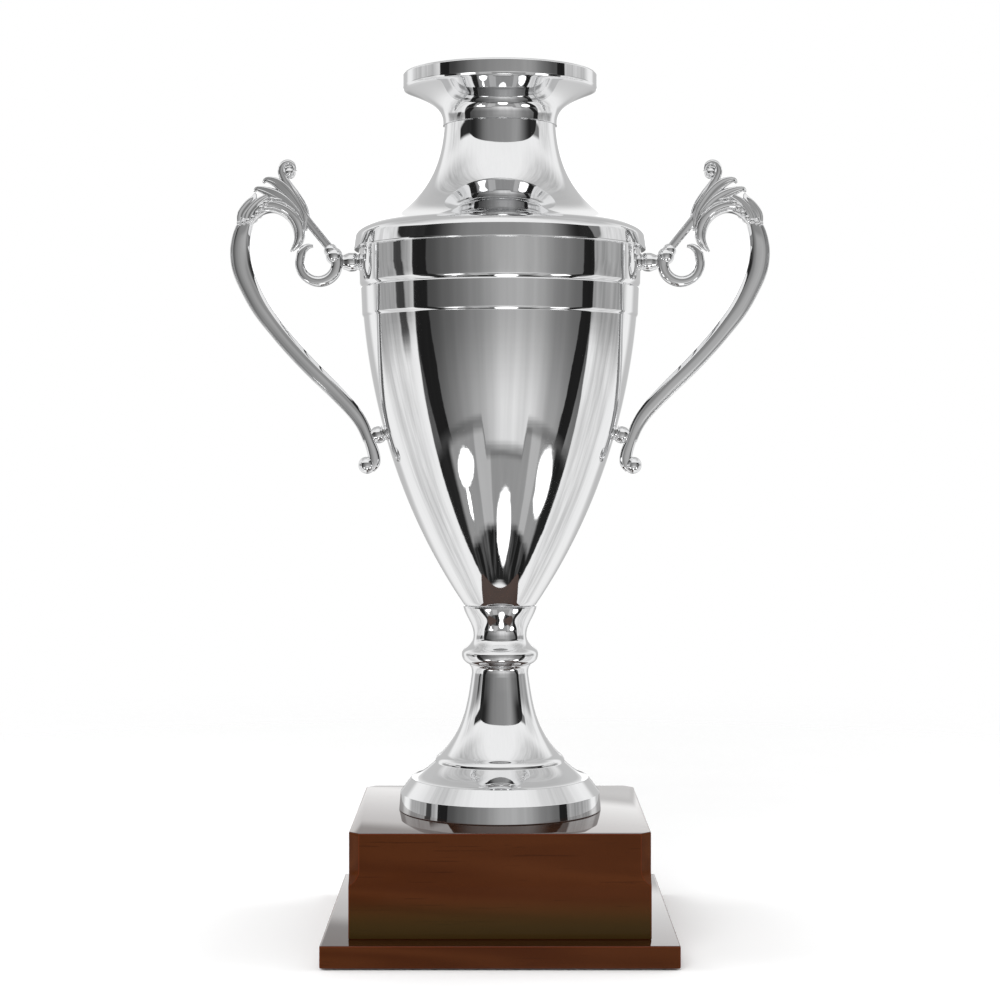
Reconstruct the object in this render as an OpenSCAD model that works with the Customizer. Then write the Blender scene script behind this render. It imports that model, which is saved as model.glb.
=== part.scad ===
// Two-handled presentation cup on a lacquered wooden plinth.
// Origin at the centre of the underside, +Z up, handles along X, name-plate face towards -Y.

/* [Plinth] */
// Side of the square base plate
plate_w = 200; // [190:1:215]
// Thickness of the base plate
plate_h = 12.5; // [11:0.5:16]
// Side of the square block
block_w = 170; // [150:1:180]
// Height of the block
block_h = 59.5; // [55:0.5:80]
// Leg of the chamfer on each upright corner of the block
corner_leg = 6; // [4:0.5:8]
// Height of the chamfer above its rounded stop
corner_run = 20.5; // [15:0.5:30]
// Thickness of the felt under the base plate
felt_t = 1; // [0.5:0.5:2]
// Margin of bare wood round the felt
felt_margin = 4; // [2:1:8]

/* [Foot and stem] */
// Radius of the pedestal's foot ring
foot_r = 60.5; // [58:0.5:64]
// Height of the foot ring's upright band
foot_band_h = 10.2; // [8:0.2:11]
// Height of the pedestal
foot_h = 86.5; // [84:0.5:92]
// Height of the cast stem, knop included
stem_h = 35.3; // [33:0.1:40]
// Radius of the knop
knop_r = 22.8; // [21:0.1:24]
// Radius of the stem's waist
waist_r = 15.8; // [14:0.1:17]

/* [Cup] */
// Wall of the spun metal
wall = 1.2; // [1:0.1:1.4]
// Height of the bowl's plain body
bowl_h = 172.2; // [165:0.1:180]
// Radius at the top of the bowl's plain body
bowl_r = 81.8; // [80:0.1:82]
// Height of the lower band
low_band_h = 18; // [16:0.5:20]
// Height of the upper band, up to the shoulder's skirt
up_band_h = 22.4; // [21:0.1:25]
// Outer radius of the shoulder's skirt
skirt_r = 87.6; // [87:0.1:88.5]
// Height of the shoulder piece, skirt included
shoulder_h = 74.6; // [72:0.2:80]
// Radius at the top of the neck
neck_r = 33.4; // [32.5:0.1:34]
// Outer radius of the mouth ring
mouth_r = 58.2; // [57:0.1:60]
// Height of the mouth piece above the neck
mouth_h = 30.9; // [30:0.1:34]

/* [Handles] */
// Depth of the handle's strap, front to back
strap_d = 9.5; // [8:0.5:11]
// Height of the upper spacer above the cup's foot
up_post_z = 327.6; // [326:0.1:328]
// Height of the lower spacer's inner end above the cup's foot
low_post_z = 225.3; // [222:0.1:228]
// Angle at which the lower spacer points down from level, square to the bowl's wall
low_post_tilt = 19; // [17:0.5:21]

/* [Fasteners] */
// Diameter of the tie rod
rod_d = 8; // [6:1:8]
// Diameter of the handle screws
screw_d = 4; // [3:0.5:4]
// Diameter of the wood screws
wood_screw_d = 4; // [3.5:0.5:5]

/* [Hidden] */
$fn = 96;

// Levels of the stack
plate_z = felt_t;
block_z = plate_z + plate_h;
cup_z = block_z + block_h;
stem_z = cup_z + foot_h;
bowl_z = stem_z + stem_h;
low_band_z = bowl_z + bowl_h;
up_band_z = low_band_z + low_band_h;
skirt_z = up_band_z + up_band_h;
neck_z = skirt_z + shoulder_h;

// Fits
gap = 0.1;
play = 0.25;
rod_r = rod_d / 2;
screw_r = screw_d / 2;
wood_screw_r = wood_screw_d / 2;

// Counterbore in the block for the tie rod's lower nut
bore_r = 16;
bore_h = 20;
bore_z = block_z + bore_h;

// Washers and nuts
base_washer_t = 2;
bowl_washer_t = 1.6;
nut_w = 13;
nut_t = 6.5;
bowl_floor_z = bowl_z + wall;

// Bowl rim inside the shoulder
rim_h = 8.6;
rim_r = skirt_r - 3.1;

// Handle joints
up_pad_x = 94;
up_wall_r = rim_r;
low_wall_r = 69.3;
low_post_l = 7.6;
post_hole = 5;

wood_c = "saddlebrown";
metal_c = "gainsboro";
steel_c = "silver";
felt_c = "darkgreen";

// ---------- curves ----------

// Points on a cubic curve with ends a, d and handles b, c; the last point is left to the next stretch
function curve(a, b, c, d, n = 10) = [
    for (i = [0 : n - 1])
        let (t = i / n, u = 1 - t)
        u * u * u * a + 3 * u * u * t * b + 3 * u * t * t * c + t * t * t * d
];

// A line moved to its left by t, which is inwards on an outline that runs upwards
function inset(p, t) = [
    for (i = [0 : len(p) - 1])
        let (d = p[min(i + 1, len(p) - 1)] - p[max(i - 1, 0)])
        p[i] + t * [-d[1], d[0]] / norm(d)
];

function reversed(p) = [for (i = [len(p) - 1 : -1 : 0]) p[i]];

// One point of the smooth route through b and c
function blend(a, b, c, d, t) =
    0.5 * (2 * b + (c - a) * t + (2 * a - 5 * b + 4 * c - d) * t * t + (3 * b - a - 3 * c + d) * t * t * t);

// Smooth route through the points p, with k steps to a span
function route(p, k) = concat(
    [
        for (i = [0 : len(p) - 2], j = [0 : k - 1])
            blend(p[max(i - 1, 0)], p[i], p[i + 1], p[min(i + 2, len(p) - 1)], j / k)
    ],
    [p[len(p) - 1]]
);

// ---------- plinth ----------

module felt_pad() {
    side = plate_w - 2 * felt_margin;
    color(felt_c)
        translate([-side / 2, -side / 2, 0])
            cube([side, side, felt_t]);
}

screw_inset = 20;
screw_pitch = block_w - 2 * screw_inset;
screw_places = [for (x = [-1, 1], y = [-1, 1]) [x * screw_pitch / 2, y * screw_pitch / 2]];
screw_head_r = wood_screw_d;
screw_head_h = wood_screw_d * 0.7;
screw_l = 32;
screw_tip_l = 4;

module plinth_plate() {
    color(wood_c)
        difference() {
            translate([-plate_w / 2, -plate_w / 2, plate_z])
                cube([plate_w, plate_w, plate_h]);
            for (p = screw_places)
                translate([p[0], p[1], plate_z]) {
                    translate([0, 0, -1])
                        cylinder(r = wood_screw_r + play, h = plate_h + 2);
                    cylinder(r1 = screw_head_r + play, r2 = wood_screw_r + play, h = screw_head_h);
                }
        }
}

// Cutter for one corner's chamfer: a slab above the stop and a round end that runs out to the corner
module corner_cutter() {
    depth = corner_leg / sqrt(2);
    slab = 20;
    stop = 1.5 * corner_leg;
    stop_r = (depth * depth + stop * stop) / (2 * depth);
    reach = block_w / sqrt(2) - depth;
    top = cup_z - corner_run;
    translate([reach, -slab, top])
        cube([slab, 2 * slab, corner_run + 1]);
    translate([reach + stop_r, slab, top])
        rotate([90, 0, 0])
            cylinder(r = stop_r, h = 2 * slab);
}

module plinth_block() {
    color(wood_c)
        difference() {
            translate([-block_w / 2, -block_w / 2, block_z])
                cube([block_w, block_w, block_h]);
            for (a = [45 : 90 : 315])
                rotate([0, 0, a])
                    corner_cutter();
            translate([0, 0, block_z - 1])
                cylinder(r = bore_r, h = bore_h + 1);
            translate([0, 0, block_z])
                cylinder(r = rod_r + play, h = block_h + 1);
            for (p = screw_places)
                translate([p[0], p[1], block_z - 1])
                    cylinder(r = wood_screw_r + gap, h = screw_l - plate_h + 2);
        }
}

module plinth_screws() {
    color(steel_c)
        for (p = screw_places)
            translate([p[0], p[1], plate_z]) {
                cylinder(r = wood_screw_r, h = screw_l - screw_tip_l);
                cylinder(r1 = screw_head_r, r2 = wood_screw_r, h = screw_head_h);
                translate([0, 0, screw_l - screw_tip_l])
                    cylinder(r1 = wood_screw_r, r2 = 0.4, h = screw_tip_l);
            }
}

// ---------- foot and stem ----------

module pedestal() {
    ledge_r = foot_r - 7.6;
    ledge_z = foot_band_h + 8.9;
    crease = [foot_r - 21.9, 28.4];
    cove = [foot_r - 24.9, 32.8];
    throat = [foot_r - 43.7, foot_h - 5.5];
    skin = concat(
        [[foot_r, 0.4], [foot_r, foot_band_h]],
        curve([ledge_r, ledge_z], [ledge_r - 5.9, ledge_z + 1.5], crease + [4.4, -3.9], crease),
        curve(crease, crease + [-0.1, 2], cove + [1.8, -1], cove, 5),
        curve(cove, cove + [-14.6, 14.3], throat + [2.5, -17.4], throat, 16),
        curve(throat, throat + [0, 3], throat + [0.5, 4.3], throat + [1.6, 5.1], 5)
    );
    top_r = foot_r - 42.1;
    top_t = 2;
    color(metal_c)
        translate([0, 0, cup_z])
            rotate_extrude()
                polygon(concat(
                    [[foot_r - 0.4, 0]],
                    skin,
                    [[top_r, foot_h], [rod_r + play, foot_h], [rod_r + play, foot_h - top_t]],
                    [[top_r - wall - 1.4, foot_h - top_t]],
                    reversed([for (p = inset(skin, wall)) if (p[1] < foot_h - top_t - 1.5) p]),
                    [[foot_r - wall, 0]]
                ));
}

module stem() {
    foot_end = foot_r - 42.1;
    top_r = 21.9;
    knop_z = 6.2;
    waist_z = 17.3;
    outline = concat(
        [[rod_r + play, 0], [foot_end, 0]],
        curve([foot_end, 0.2], [knop_r - 1.4, 1.4], [knop_r, 3.4], [knop_r, knop_z], 8),
        curve([knop_r, knop_z], [knop_r, 10.6], [waist_r, 10.8], [waist_r, waist_z], 12),
        curve([waist_r, waist_z], [waist_r, 24], [top_r - 1.6, 28.2], [top_r, stem_h - 1], 12),
        [[top_r, stem_h - 1], [top_r - 0.2, stem_h - 0.3], [top_r - 0.9, stem_h], [rod_r + play, stem_h]]
    );
    color(metal_c)
        translate([0, 0, stem_z])
            rotate_extrude()
                polygon(outline);
}

module tie_rod() {
    low_end = bore_z - base_washer_t - nut_t - 3;
    high_end = bowl_floor_z + bowl_washer_t + nut_t + 3;
    color(steel_c)
        translate([0, 0, low_end])
            cylinder(r = rod_r, h = high_end - low_end);
}

module washer(outer_r, inner_r, t) {
    difference() {
        cylinder(r = outer_r, h = t);
        translate([0, 0, -1])
            cylinder(r = inner_r, h = t + 2);
    }
}

module nut() {
    difference() {
        cylinder(r = nut_w / sqrt(3), h = nut_t, $fn = 6);
        translate([0, 0, -1])
            cylinder(r = rod_r + 0.02, h = nut_t + 2);
    }
}

module bowl_washer() {
    color(steel_c)
        translate([0, 0, bowl_floor_z])
            washer(12, rod_r + play, bowl_washer_t);
}

module bowl_nut() {
    color(steel_c)
        translate([0, 0, bowl_floor_z + bowl_washer_t])
            nut();
}

module base_washer() {
    color(steel_c)
        translate([0, 0, bore_z - base_washer_t])
            washer(15, rod_r + play, base_washer_t);
}

module base_nut() {
    color(steel_c)
        translate([0, 0, bore_z - base_washer_t - nut_t])
            nut();
}

// ---------- cup ----------

module bowl() {
    base = [21.6, 0.6];
    top = [bowl_r, bowl_h];
    body = curve(base, base + [34.4, 50.6], top + [-5.8, -62], top, 28);
    band_r = bowl_r + 0.9;
    join_z = bowl_h + low_band_h;
    rim_z = join_z + up_band_h + rim_h;
    color(metal_c)
        difference() {
            translate([0, 0, bowl_z])
                rotate_extrude()
                    polygon(concat(
                        [[rod_r + play, 0], [20.9, 0]],
                        body,
                        [top, [band_r - 0.2, bowl_h + 0.4], [band_r, bowl_h + 1.2]],
                        [[band_r + 0.7, join_z - 0.6], [band_r + 0.2, join_z], [band_r + 1, join_z + 0.5]],
                        [[band_r + 1.4, join_z + 1.4], [rim_r, join_z + 12], [rim_r, rim_z]],
                        [[rim_r - wall, rim_z], [rim_r - wall, join_z + 12], top + [-wall, 0]],
                        reversed([for (p = inset(body, wall)) if (p[1] > wall + 0.3) p]),
                        [[20.4, wall], [rod_r + play, wall]]
                    ));
            for (side = [0, 180])
                rotate([0, 0, side]) {
                    up_axis()
                        translate([0, 0, -up_wall_r / 3])
                            cylinder(r = screw_r + play, h = up_wall_r / 2);
                    low_axis()
                        translate([0, 0, -low_wall_r / 3])
                            cylinder(r = screw_r + play, h = low_wall_r / 2);
                }
        }
}

module neck_shoulder() {
    lip = [80, 14.2];
    neck = [neck_r, shoulder_h];
    skin = curve(lip, [45, 25.1], [neck_r + 1.6, 49.6], neck, 22);
    color(metal_c)
        translate([0, 0, skirt_z])
            rotate_extrude()
                polygon(concat(
                    [[rim_r + gap, 0], [skirt_r - 0.3, 0], [skirt_r, 0.8], [skirt_r - 0.9, 7.5]],
                    curve([skirt_r - 1.1, 8.4], [skirt_r - 1.8, 10.4], [skirt_r - 3.6, 12.2], lip, 6),
                    skin,
                    [neck, neck - [wall, 0]],
                    reversed([for (p = inset(skin, wall)) if (p[0] < lip[0] - 1.5) p]),
                    [[78.6, 12.6], [rim_r - 2.4, rim_h + 1.6], [rim_r - 2.4, rim_h], [rim_r + gap, rim_h]]
                ));
}

module mouth_flare() {
    collar_r = neck_r + 0.8;
    spigot_r = neck_r - wall - gap;
    spigot_h = 8;
    low = [collar_r, 2.2];
    edge = [mouth_r - 1.9, mouth_h - 10.3];
    skin = curve(low, low + [0.2, 9], edge + [-12.8, -4.9], edge, 12);
    ring_z = edge[1];
    color(metal_c)
        translate([0, 0, neck_z])
            rotate_extrude()
                polygon(concat(
                    [[spigot_r - wall, -spigot_h], [spigot_r, -spigot_h], [spigot_r, 0], [collar_r, 0]],
                    skin,
                    [edge, [mouth_r - 0.6, ring_z + 0.7], [mouth_r, ring_z + 2], [mouth_r, mouth_h - 1]],
                    [[mouth_r - 0.5, mouth_h - 0.2], [mouth_r - 1.1, mouth_h], [mouth_r - 1.8, mouth_h - 0.4]],
                    [[mouth_r - 2, mouth_h - 1.2], [mouth_r - 2, ring_z + 3], edge + [-1, 1.3]],
                    reversed([for (p = inset(skin, wall)) if (p[1] > 3) p]),
                    [[spigot_r - wall, 2.2]]
                ));
}

// ---------- handles ----------

// Axis of the upper spacer: Z points out of the bowl, with its zero at the bowl's wall
module up_axis() {
    translate([up_wall_r, 0, cup_z + up_post_z])
        rotate([0, 90, 0])
            children();
}

// Axis of the lower spacer, square to the bowl's sloping wall
module low_axis() {
    translate([low_wall_r, 0, cup_z + low_post_z])
        rotate([0, 90 + low_post_tilt, 0])
            children();
}

// Cross-section of a bar: a round-cornered oblong, w across and d deep, in n points
bar_n = 16;
function soft(v) = sign(v) * pow(abs(v), 0.7);

// Bar along the points p, each [x, z, width, depth], lying in the XZ plane
module bar(p, k = 3) {
    r = route(p, k);
    n = len(r);
    rings = [
        for (i = [0 : n - 1])
            let (
                a = r[max(i - 1, 0)],
                b = r[min(i + 1, n - 1)],
                dir = [b[0] - a[0], b[1] - a[1]] / norm([b[0] - a[0], b[1] - a[1]])
            )
            for (j = [0 : bar_n - 1])
                let (
                    u = r[i][2] / 2 * soft(cos(360 * j / bar_n)),
                    v = r[i][3] / 2 * soft(sin(360 * j / bar_n))
                )
                [r[i][0] - dir[1] * u, v, r[i][1] + dir[0] * u]
    ];
    sides = [
        for (i = [0 : n - 2], j = [0 : bar_n - 1])
            let (a = i * bar_n + j, b = i * bar_n + (j + 1) % bar_n)
            each [[a, b, b + bar_n], [a, b + bar_n, a + bar_n]]
    ];
    start = [for (j = [bar_n - 1 : -1 : 0]) j];
    end = [for (j = [0 : bar_n - 1]) (n - 1) * bar_n + j];
    polyhedron(rings, concat(sides, [start], [end]));
}

module ball(x, z, r) {
    translate([x, 0, z])
        sphere(r = r, $fn = 32);
}

strap = [
    [151.5, 353, 8, 8], [154.3, 345, 10.4, strap_d], [155.7, 335, 12, strap_d],
    [154.2, 323, 12.3, strap_d], [149.4, 311, 11.6, strap_d], [142.8, 299, 11, strap_d],
    [133.8, 287, 10.2, 9], [123.6, 275, 10, 9], [112.2, 263, 9.8, 9], [99.9, 251, 9.3, 8.5],
    [88.6, 239, 8.5, 8.5], [82.4, 230, 7.4, 8], [78.6, 221, 6.6, 8], [76, 213.5, 7.2, 7.5],
    [75.4, 207.5, 7, 7], [77.6, 203.2, 5, 6.5]
];
arch = [
    [153, 349.5, 9.8, 10.5], [151, 355.8, 12.4, 11.5], [147, 360.2, 13.5, 12], [141.6, 363.3, 15, 12],
    [135.2, 364.6, 16.2, 12], [128, 362, 15.6, 11.5], [122.8, 357.4, 13.4, 11], [120, 351.5, 9.9, 10],
    [119.6, 345.2, 8, 9], [120.6, 340.2, 5.9, 7], [124.5, 334.8, 1.6, 3]
];
low_lobe = [[136, 364, 10, 11], [142, 368, 7, 9], [147, 369.8, 2.4, 5]];
top_lobe = [[127, 364, 10, 10], [132, 371.5, 9, 10], [137.6, 375.4, 5.4, 8], [141.8, 376, 1.8, 4]];
plume = [
    [117, 349, 5, 6], [116.6, 356, 6, 6], [119.6, 363.4, 6.4, 6.5], [124.6, 370, 6, 7],
    [128.4, 376.5, 5.4, 7.5], [130, 381.5, 4.4, 7.5]
];
rod_bar = [[117.5, 354.5, 5.1, 5.5], [109.5, 344.8, 5.1, 5.5], [101.5, 335, 5.1, 5.5]];

// The hook below the rod: most of a circle, drawn out into a tip
hook_x = 108.8;
hook_z = 327.1;
hook_r = 11.2;
hook = concat(
    [for (a = [150 : 20 : 370]) [hook_x + hook_r * cos(a), hook_z + hook_r * sin(a), 7.2 - (a - 150) / 130, 7.5]],
    [[118.6, 334, 5, 7], [115.6, 336.8, 3.4, 5], [112, 337.2, 1.4, 3]]
);

module handle() {
    difference() {
        translate([0, 0, cup_z])
            union() {
                bar(strap);
                bar(arch);
                bar(low_lobe);
                bar(top_lobe);
                bar(plume);
                bar(rod_bar, 1);
                bar(hook, 1);
                ball(127.1, 383, 5.6);
                ball(99.4, 331.4, 5.4);
                ball(79.8, 205.8, 5.2);
                translate([up_pad_x, 0, up_post_z])
                    rotate([0, 90, 0])
                        cylinder(r = 4.4, h = 4, $fn = 32);
                translate([0, 0, -cup_z])
                    low_axis()
                        translate([0, 0, low_post_l])
                            cylinder(r = 4.2, h = 3, $fn = 32);
            }
        up_axis()
            translate([0, 0, -10]) {
                cylinder(r = 12, h = 10 + up_pad_x - up_wall_r, $fn = 32);
                cylinder(r = screw_r + gap, h = 10 + up_pad_x - up_wall_r + post_hole, $fn = 32);
            }
        low_axis()
            translate([0, 0, -10]) {
                cylinder(r = 9, h = 10 + low_post_l, $fn = 32);
                cylinder(r = screw_r + gap, h = 10 + low_post_l + post_hole, $fn = 32);
            }
    }
}

module handle_right() {
    color(metal_c)
        handle();
}

module handle_left() {
    color(metal_c)
        mirror([1, 0, 0])
            handle();
}

// Turned spacer: end of radius end_r at the bowl, one bead of radius bead_r, a neck at the handle
module spacer(l, bead_r, end_r, neck_at) {
    clear = 0.05;
    mid = l * 0.56;
    color(metal_c)
        rotate_extrude()
            polygon(concat(
                [[screw_r + gap, clear], [end_r + 0.5, clear], [end_r, 0.9]],
                curve([end_r, 1.2], [bead_r, 1.4], [bead_r, mid - 1.2], [bead_r, mid], 6),
                curve([bead_r, mid], [bead_r, mid + 1.4], [neck_at, l - 1.2], [neck_at, l], 6),
                [[neck_at, l], [screw_r + gap, l]]
            ));
}

module upper_spacer_right() {
    up_axis()
        spacer(up_pad_x - up_wall_r, 5.7, 4.5, 4.4);
}

module upper_spacer_left() {
    rotate([0, 0, 180])
        upper_spacer_right();
}

module lower_spacer_right() {
    low_axis()
        spacer(low_post_l, 5.2, 4.2, 4.2);
}

module lower_spacer_left() {
    rotate([0, 0, 180])
        lower_spacer_right();
}

washer_r = 6;
washer_t = 1;
washer_back = 1.7;
pan_r = 4;
pan_h = 2.6;

// Pan-head screw from inside the bowl, its tip in the handle
module pan_screw(l) {
    head = -washer_back - washer_t;
    translate([0, 0, head])
        cylinder(r = screw_r, h = l - head + post_hole - 0.5);
    translate([0, 0, head - pan_h])
        cylinder(r = pan_r, h = pan_h);
}

module handle_screws() {
    color(steel_c)
        for (side = [0, 180])
            rotate([0, 0, side]) {
                up_axis()
                    pan_screw(up_pad_x - up_wall_r);
                low_axis()
                    pan_screw(low_post_l);
            }
}

module handle_washers() {
    color(steel_c)
        for (side = [0, 180])
            rotate([0, 0, side]) {
                up_axis()
                    translate([0, 0, -washer_back - washer_t])
                        washer(washer_r, screw_r + gap, washer_t);
                low_axis()
                    translate([0, 0, -washer_back - washer_t])
                        washer(washer_r, screw_r + gap, washer_t);
            }
}

felt_pad();
plinth_plate();
plinth_block();
plinth_screws();
pedestal();
stem();
bowl();
neck_shoulder();
mouth_flare();
tie_rod();
bowl_washer();
bowl_nut();
base_washer();
base_nut();
handle_left();
handle_right();
upper_spacer_left();
upper_spacer_right();
lower_spacer_left();
lower_spacer_right();
handle_screws();
handle_washers();
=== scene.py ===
import math

import bmesh
import bpy
from mathutils import Matrix, Vector


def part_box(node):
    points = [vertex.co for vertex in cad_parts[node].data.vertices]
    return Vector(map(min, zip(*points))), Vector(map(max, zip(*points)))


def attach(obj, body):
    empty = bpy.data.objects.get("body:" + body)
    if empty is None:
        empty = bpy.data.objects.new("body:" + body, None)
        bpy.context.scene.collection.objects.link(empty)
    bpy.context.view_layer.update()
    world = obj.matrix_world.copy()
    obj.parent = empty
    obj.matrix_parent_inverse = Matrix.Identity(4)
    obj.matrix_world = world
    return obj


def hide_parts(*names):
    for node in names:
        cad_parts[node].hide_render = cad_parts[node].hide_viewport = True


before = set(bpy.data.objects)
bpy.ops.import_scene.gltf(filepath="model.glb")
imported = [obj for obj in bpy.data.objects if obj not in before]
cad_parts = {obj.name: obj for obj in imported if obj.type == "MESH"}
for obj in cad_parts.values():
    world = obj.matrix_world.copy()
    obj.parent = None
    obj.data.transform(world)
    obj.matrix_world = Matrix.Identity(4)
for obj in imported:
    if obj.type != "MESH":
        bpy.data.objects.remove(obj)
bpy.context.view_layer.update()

# Two-handled presentation cup on a lacquered wooden plinth, put together from the table upwards.
# Lengths in the shapes are millimetres and are turned into metres when a mesh is finished.
MM = 0.001

# ---------- Camera ----------
# Level camera in front of the cup, a little above its middle, with a long lens.
camera_data = bpy.data.cameras.new("camera")
camera = bpy.data.objects.new("camera", camera_data)
bpy.context.scene.collection.objects.link(camera)
camera_data.sensor_width = 36
camera_data.lens = 76.07
camera_data.shift_y = -0.051
camera.location = (0, -1.268, 0.2884)
camera.rotation_euler = (math.radians(90), 0, 0)
bpy.context.scene.camera = camera


# ---------- Studio ----------
# A white tent with an opening towards the camera, which is what the polished metal mirrors:
# a grey room behind black curtains, three lamps low in it, and creased cloth all round. Directions
# in it are in degrees: turn is 0 towards the camera and positive to the right, height is 0 on a level.
def grey(value):
    """Light of a grey that looks this bright, from 0 to 1, on a screen."""
    return ((value + 0.055) / 1.055) ** 2.4


class Shade:
    """A shader socket. Arithmetic on it adds Math nodes to its tree."""

    def __init__(self, tree, socket=None):
        self.tree = tree
        self.socket = socket

    def node(self, kind, settings, inputs, output=0):
        """Adds a node with its settings and its inputs' values or links, and gives one output."""
        made = self.tree.nodes.new(kind)
        for name, value in settings.items():
            if name == "stops":
                ramp = made.color_ramp.elements
                while len(ramp) < len(value):
                    ramp.new(1)
                for element, (place, colour) in zip(ramp, value):
                    element.position = place
                    element.color = (*colour, 1)
            else:
                setattr(made, name, value)
        for name, value in inputs.items():
            self.feed(made, name, value)
        return Shade(self.tree, made.outputs[output])

    def feed(self, target, name, value):
        """Links or sets one input of a node."""
        if isinstance(value, Shade):
            self.tree.links.new(value.socket, target.inputs[name])
        else:
            target.inputs[name].default_value = value

    def math(self, operation, *others):
        return self.node("ShaderNodeMath", {"operation": operation}, dict(enumerate((self, *others))))

    def __add__(self, other):
        return self.math("ADD", other)

    __radd__ = __add__

    def __mul__(self, other):
        return self.math("MULTIPLY", other)

    __rmul__ = __mul__

    def __sub__(self, other):
        return self.math("SUBTRACT", other)

    def __rsub__(self, other):
        return self.math("MULTIPLY", -1.0).math("ADD", other)

    def __truediv__(self, other):
        return self.math("DIVIDE", other)

    def __pow__(self, other):
        return self.math("POWER", other)

    def __abs__(self):
        return self.math("ABSOLUTE")

    def ramp(self, low, high):
        """0 below low and 1 above high, or the other way round when low is the greater."""
        settings = {"interpolation_type": "SMOOTHSTEP"}
        return self.node("ShaderNodeMapRange", settings, {"Value": self, "From Min": low, "From Max": high})

    def band(self, low, high, soft):
        """1 between low and high, with edges that are this soft."""
        return self.ramp(low - soft, low + soft) * self.ramp(high + soft, high - soft)

    def towards(self, value, mask):
        """This value where the mask is 0 and the other where it is 1."""
        return self + (value - self) * mask

    def noise(self, vector, scale, detail=3.0, roughness=0.5):
        inputs = {"Vector": vector, "Scale": scale, "Detail": detail, "Roughness": roughness}
        return self.node("ShaderNodeTexNoise", {}, inputs)


def joined(x, y, z):
    """A vector with these three parts."""
    return x.node("ShaderNodeCombineXYZ", {}, {"X": x, "Y": y, "Z": z})


world = bpy.data.worlds.new("studio")
world.use_nodes = True
bpy.context.scene.world = world
world_nodes = world.node_tree.nodes
sky = Shade(world.node_tree)
direction = sky.node("ShaderNodeTexCoord", {}, {})
parts = [direction.node("ShaderNodeSeparateXYZ", {}, {"Vector": direction}, k) for k in range(3)]
DEGREES = math.degrees(1)
turn = parts[0].math("ARCTAN2", parts[1] * -1.0) * DEGREES
height = parts[2].math("ARCSINE") * DEGREES
around = abs(turn)

# Creased cloth of the tent: dimmer at the sides, at the level of the cup and high up, and behind the
# cup in two upright strips and low down, with one bright patch straight behind it
wobble = (sky.noise(joined(turn * 0.05, height * 0.12, 0.0), 1.0, 4.0, 0.6) - 0.5) * 6.0
crease_place = joined(around * 0.11 - height * 0.022 + wobble * 0.02, height * 0.03, turn * 0.012)
creases = sky.noise(crease_place, 1.7, 4.0, 0.62)
side_cloth = around.band(84, 122, 8) * height.band(-62, 26, 8)
level_cloth = around.band(74, 124, 7) * height.band(-7, 10, 4)
low_behind = around.ramp(138, 172) * height.ramp(2, -8) * height.ramp(-66, -40)
low_middle = around.ramp(167, 176) * height.ramp(1, -4) * height.ramp(-70, -50)
high_sides = around.ramp(40, 115) * height.ramp(26, 48)
back_strips = around.band(142, 167, 5) * height.band(-16, 62, 6)
bright_patch = around.ramp(167, 171) * height.band(4.5, 18, 1.5)
light = (creases * 0.1 + grey(0.95)).towards((creases - 0.35) * 1.5 + grey(0.66), side_cloth * 0.6)
light = light.towards((creases - 0.4) * 0.5 + grey(0.6), level_cloth)
light = light.towards(grey(0.78), low_behind)
light = light.towards(grey(0.45), low_middle)
light = light.towards((creases - 0.35) * 0.6 + grey(0.7), high_sides)
light = light.towards(grey(0.74), back_strips * 0.85)
light = light.towards(1.7, bright_patch)

# The opening: its outline is square above and elliptic below
opening_mid = 3.5
opening_half = 78.5
low_start = -28
low_reach = 38
high_reach = 34
high_drop = 10.5
across = abs((turn - opening_mid + wobble * 0.25) / opening_half)
down = (height * -1.0 + low_start).math("MAXIMUM", 0.0) / low_reach
up = height.math("MAXIMUM", 0.0) / (across * across * -high_drop + high_reach)
outline = across ** 4.0 + down ** 2.0 + up ** 8.0
opening = outline.ramp(1.03, 0.96)

# Room behind the opening: a wall that is lighter to the right of the middle and lower down
wall_place = ((turn + 80.0) / 160.0).math("MAXIMUM", 0.0)
wall_stops = (
    (0.0, 0.24), (0.14, 0.3), (0.25, 0.4), (0.38, 0.52),
    (0.52, 0.67), (0.68, 0.66), (0.8, 0.5), (1.0, 0.34),
)
wall_tone = wall_place.node(
    "ShaderNodeValToRGB",
    {"stops": [(place, (grey(tone),) * 3) for place, tone in wall_stops]},
    {"Fac": wall_place},
)
strands = sky.noise(joined(turn * 0.1, height * 0.012, 0.0), 1.0, 3.0, 0.5)
room = wall_tone * (strands * 0.5 + 0.82) * (height.ramp(-6, -27) * 0.75 + 1.0)
room = room.towards(grey(0.5), across.ramp(0.6, 0.1) * height.ramp(4, 12) * 0.7)
room = room.towards(grey(0.15), height.ramp(5, 16) * across.ramp(0.45, 0.8))

# Floor of the room: it starts lower in the middle, has two pale strips and is dark at its near edge
floor_line = turn.band(-17, 27, 2) * -6.0 + low_start
streaks = sky.noise(joined(turn * 0.07, height * 0.03, 0.0), 1.5, 3.0, 0.55)
strips = turn.band(-28, -11, 1) + turn.band(34, 45, 1)
low_floor = (streaks * 0.3 + 0.85) * grey(0.6) + strips * grey(0.45)
dark_streaks = streaks.ramp(0.4, 0.85) * 0.16 + 0.012
low_floor = low_floor.towards(dark_streaks, (height + wobble * 0.8).ramp(-50, -53))
near_edge = across.ramp(0.74, 0.81).math("MAXIMUM", down.ramp(0.9, 0.97))
low_floor = low_floor.towards(streaks * 0.04, near_edge)
room = room.towards(low_floor, (height - floor_line).ramp(0.0, -1.6))
room = room.towards(grey(0.3), abs(height - floor_line + 0.6).ramp(2.4, 0.4) * 0.55)


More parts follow.
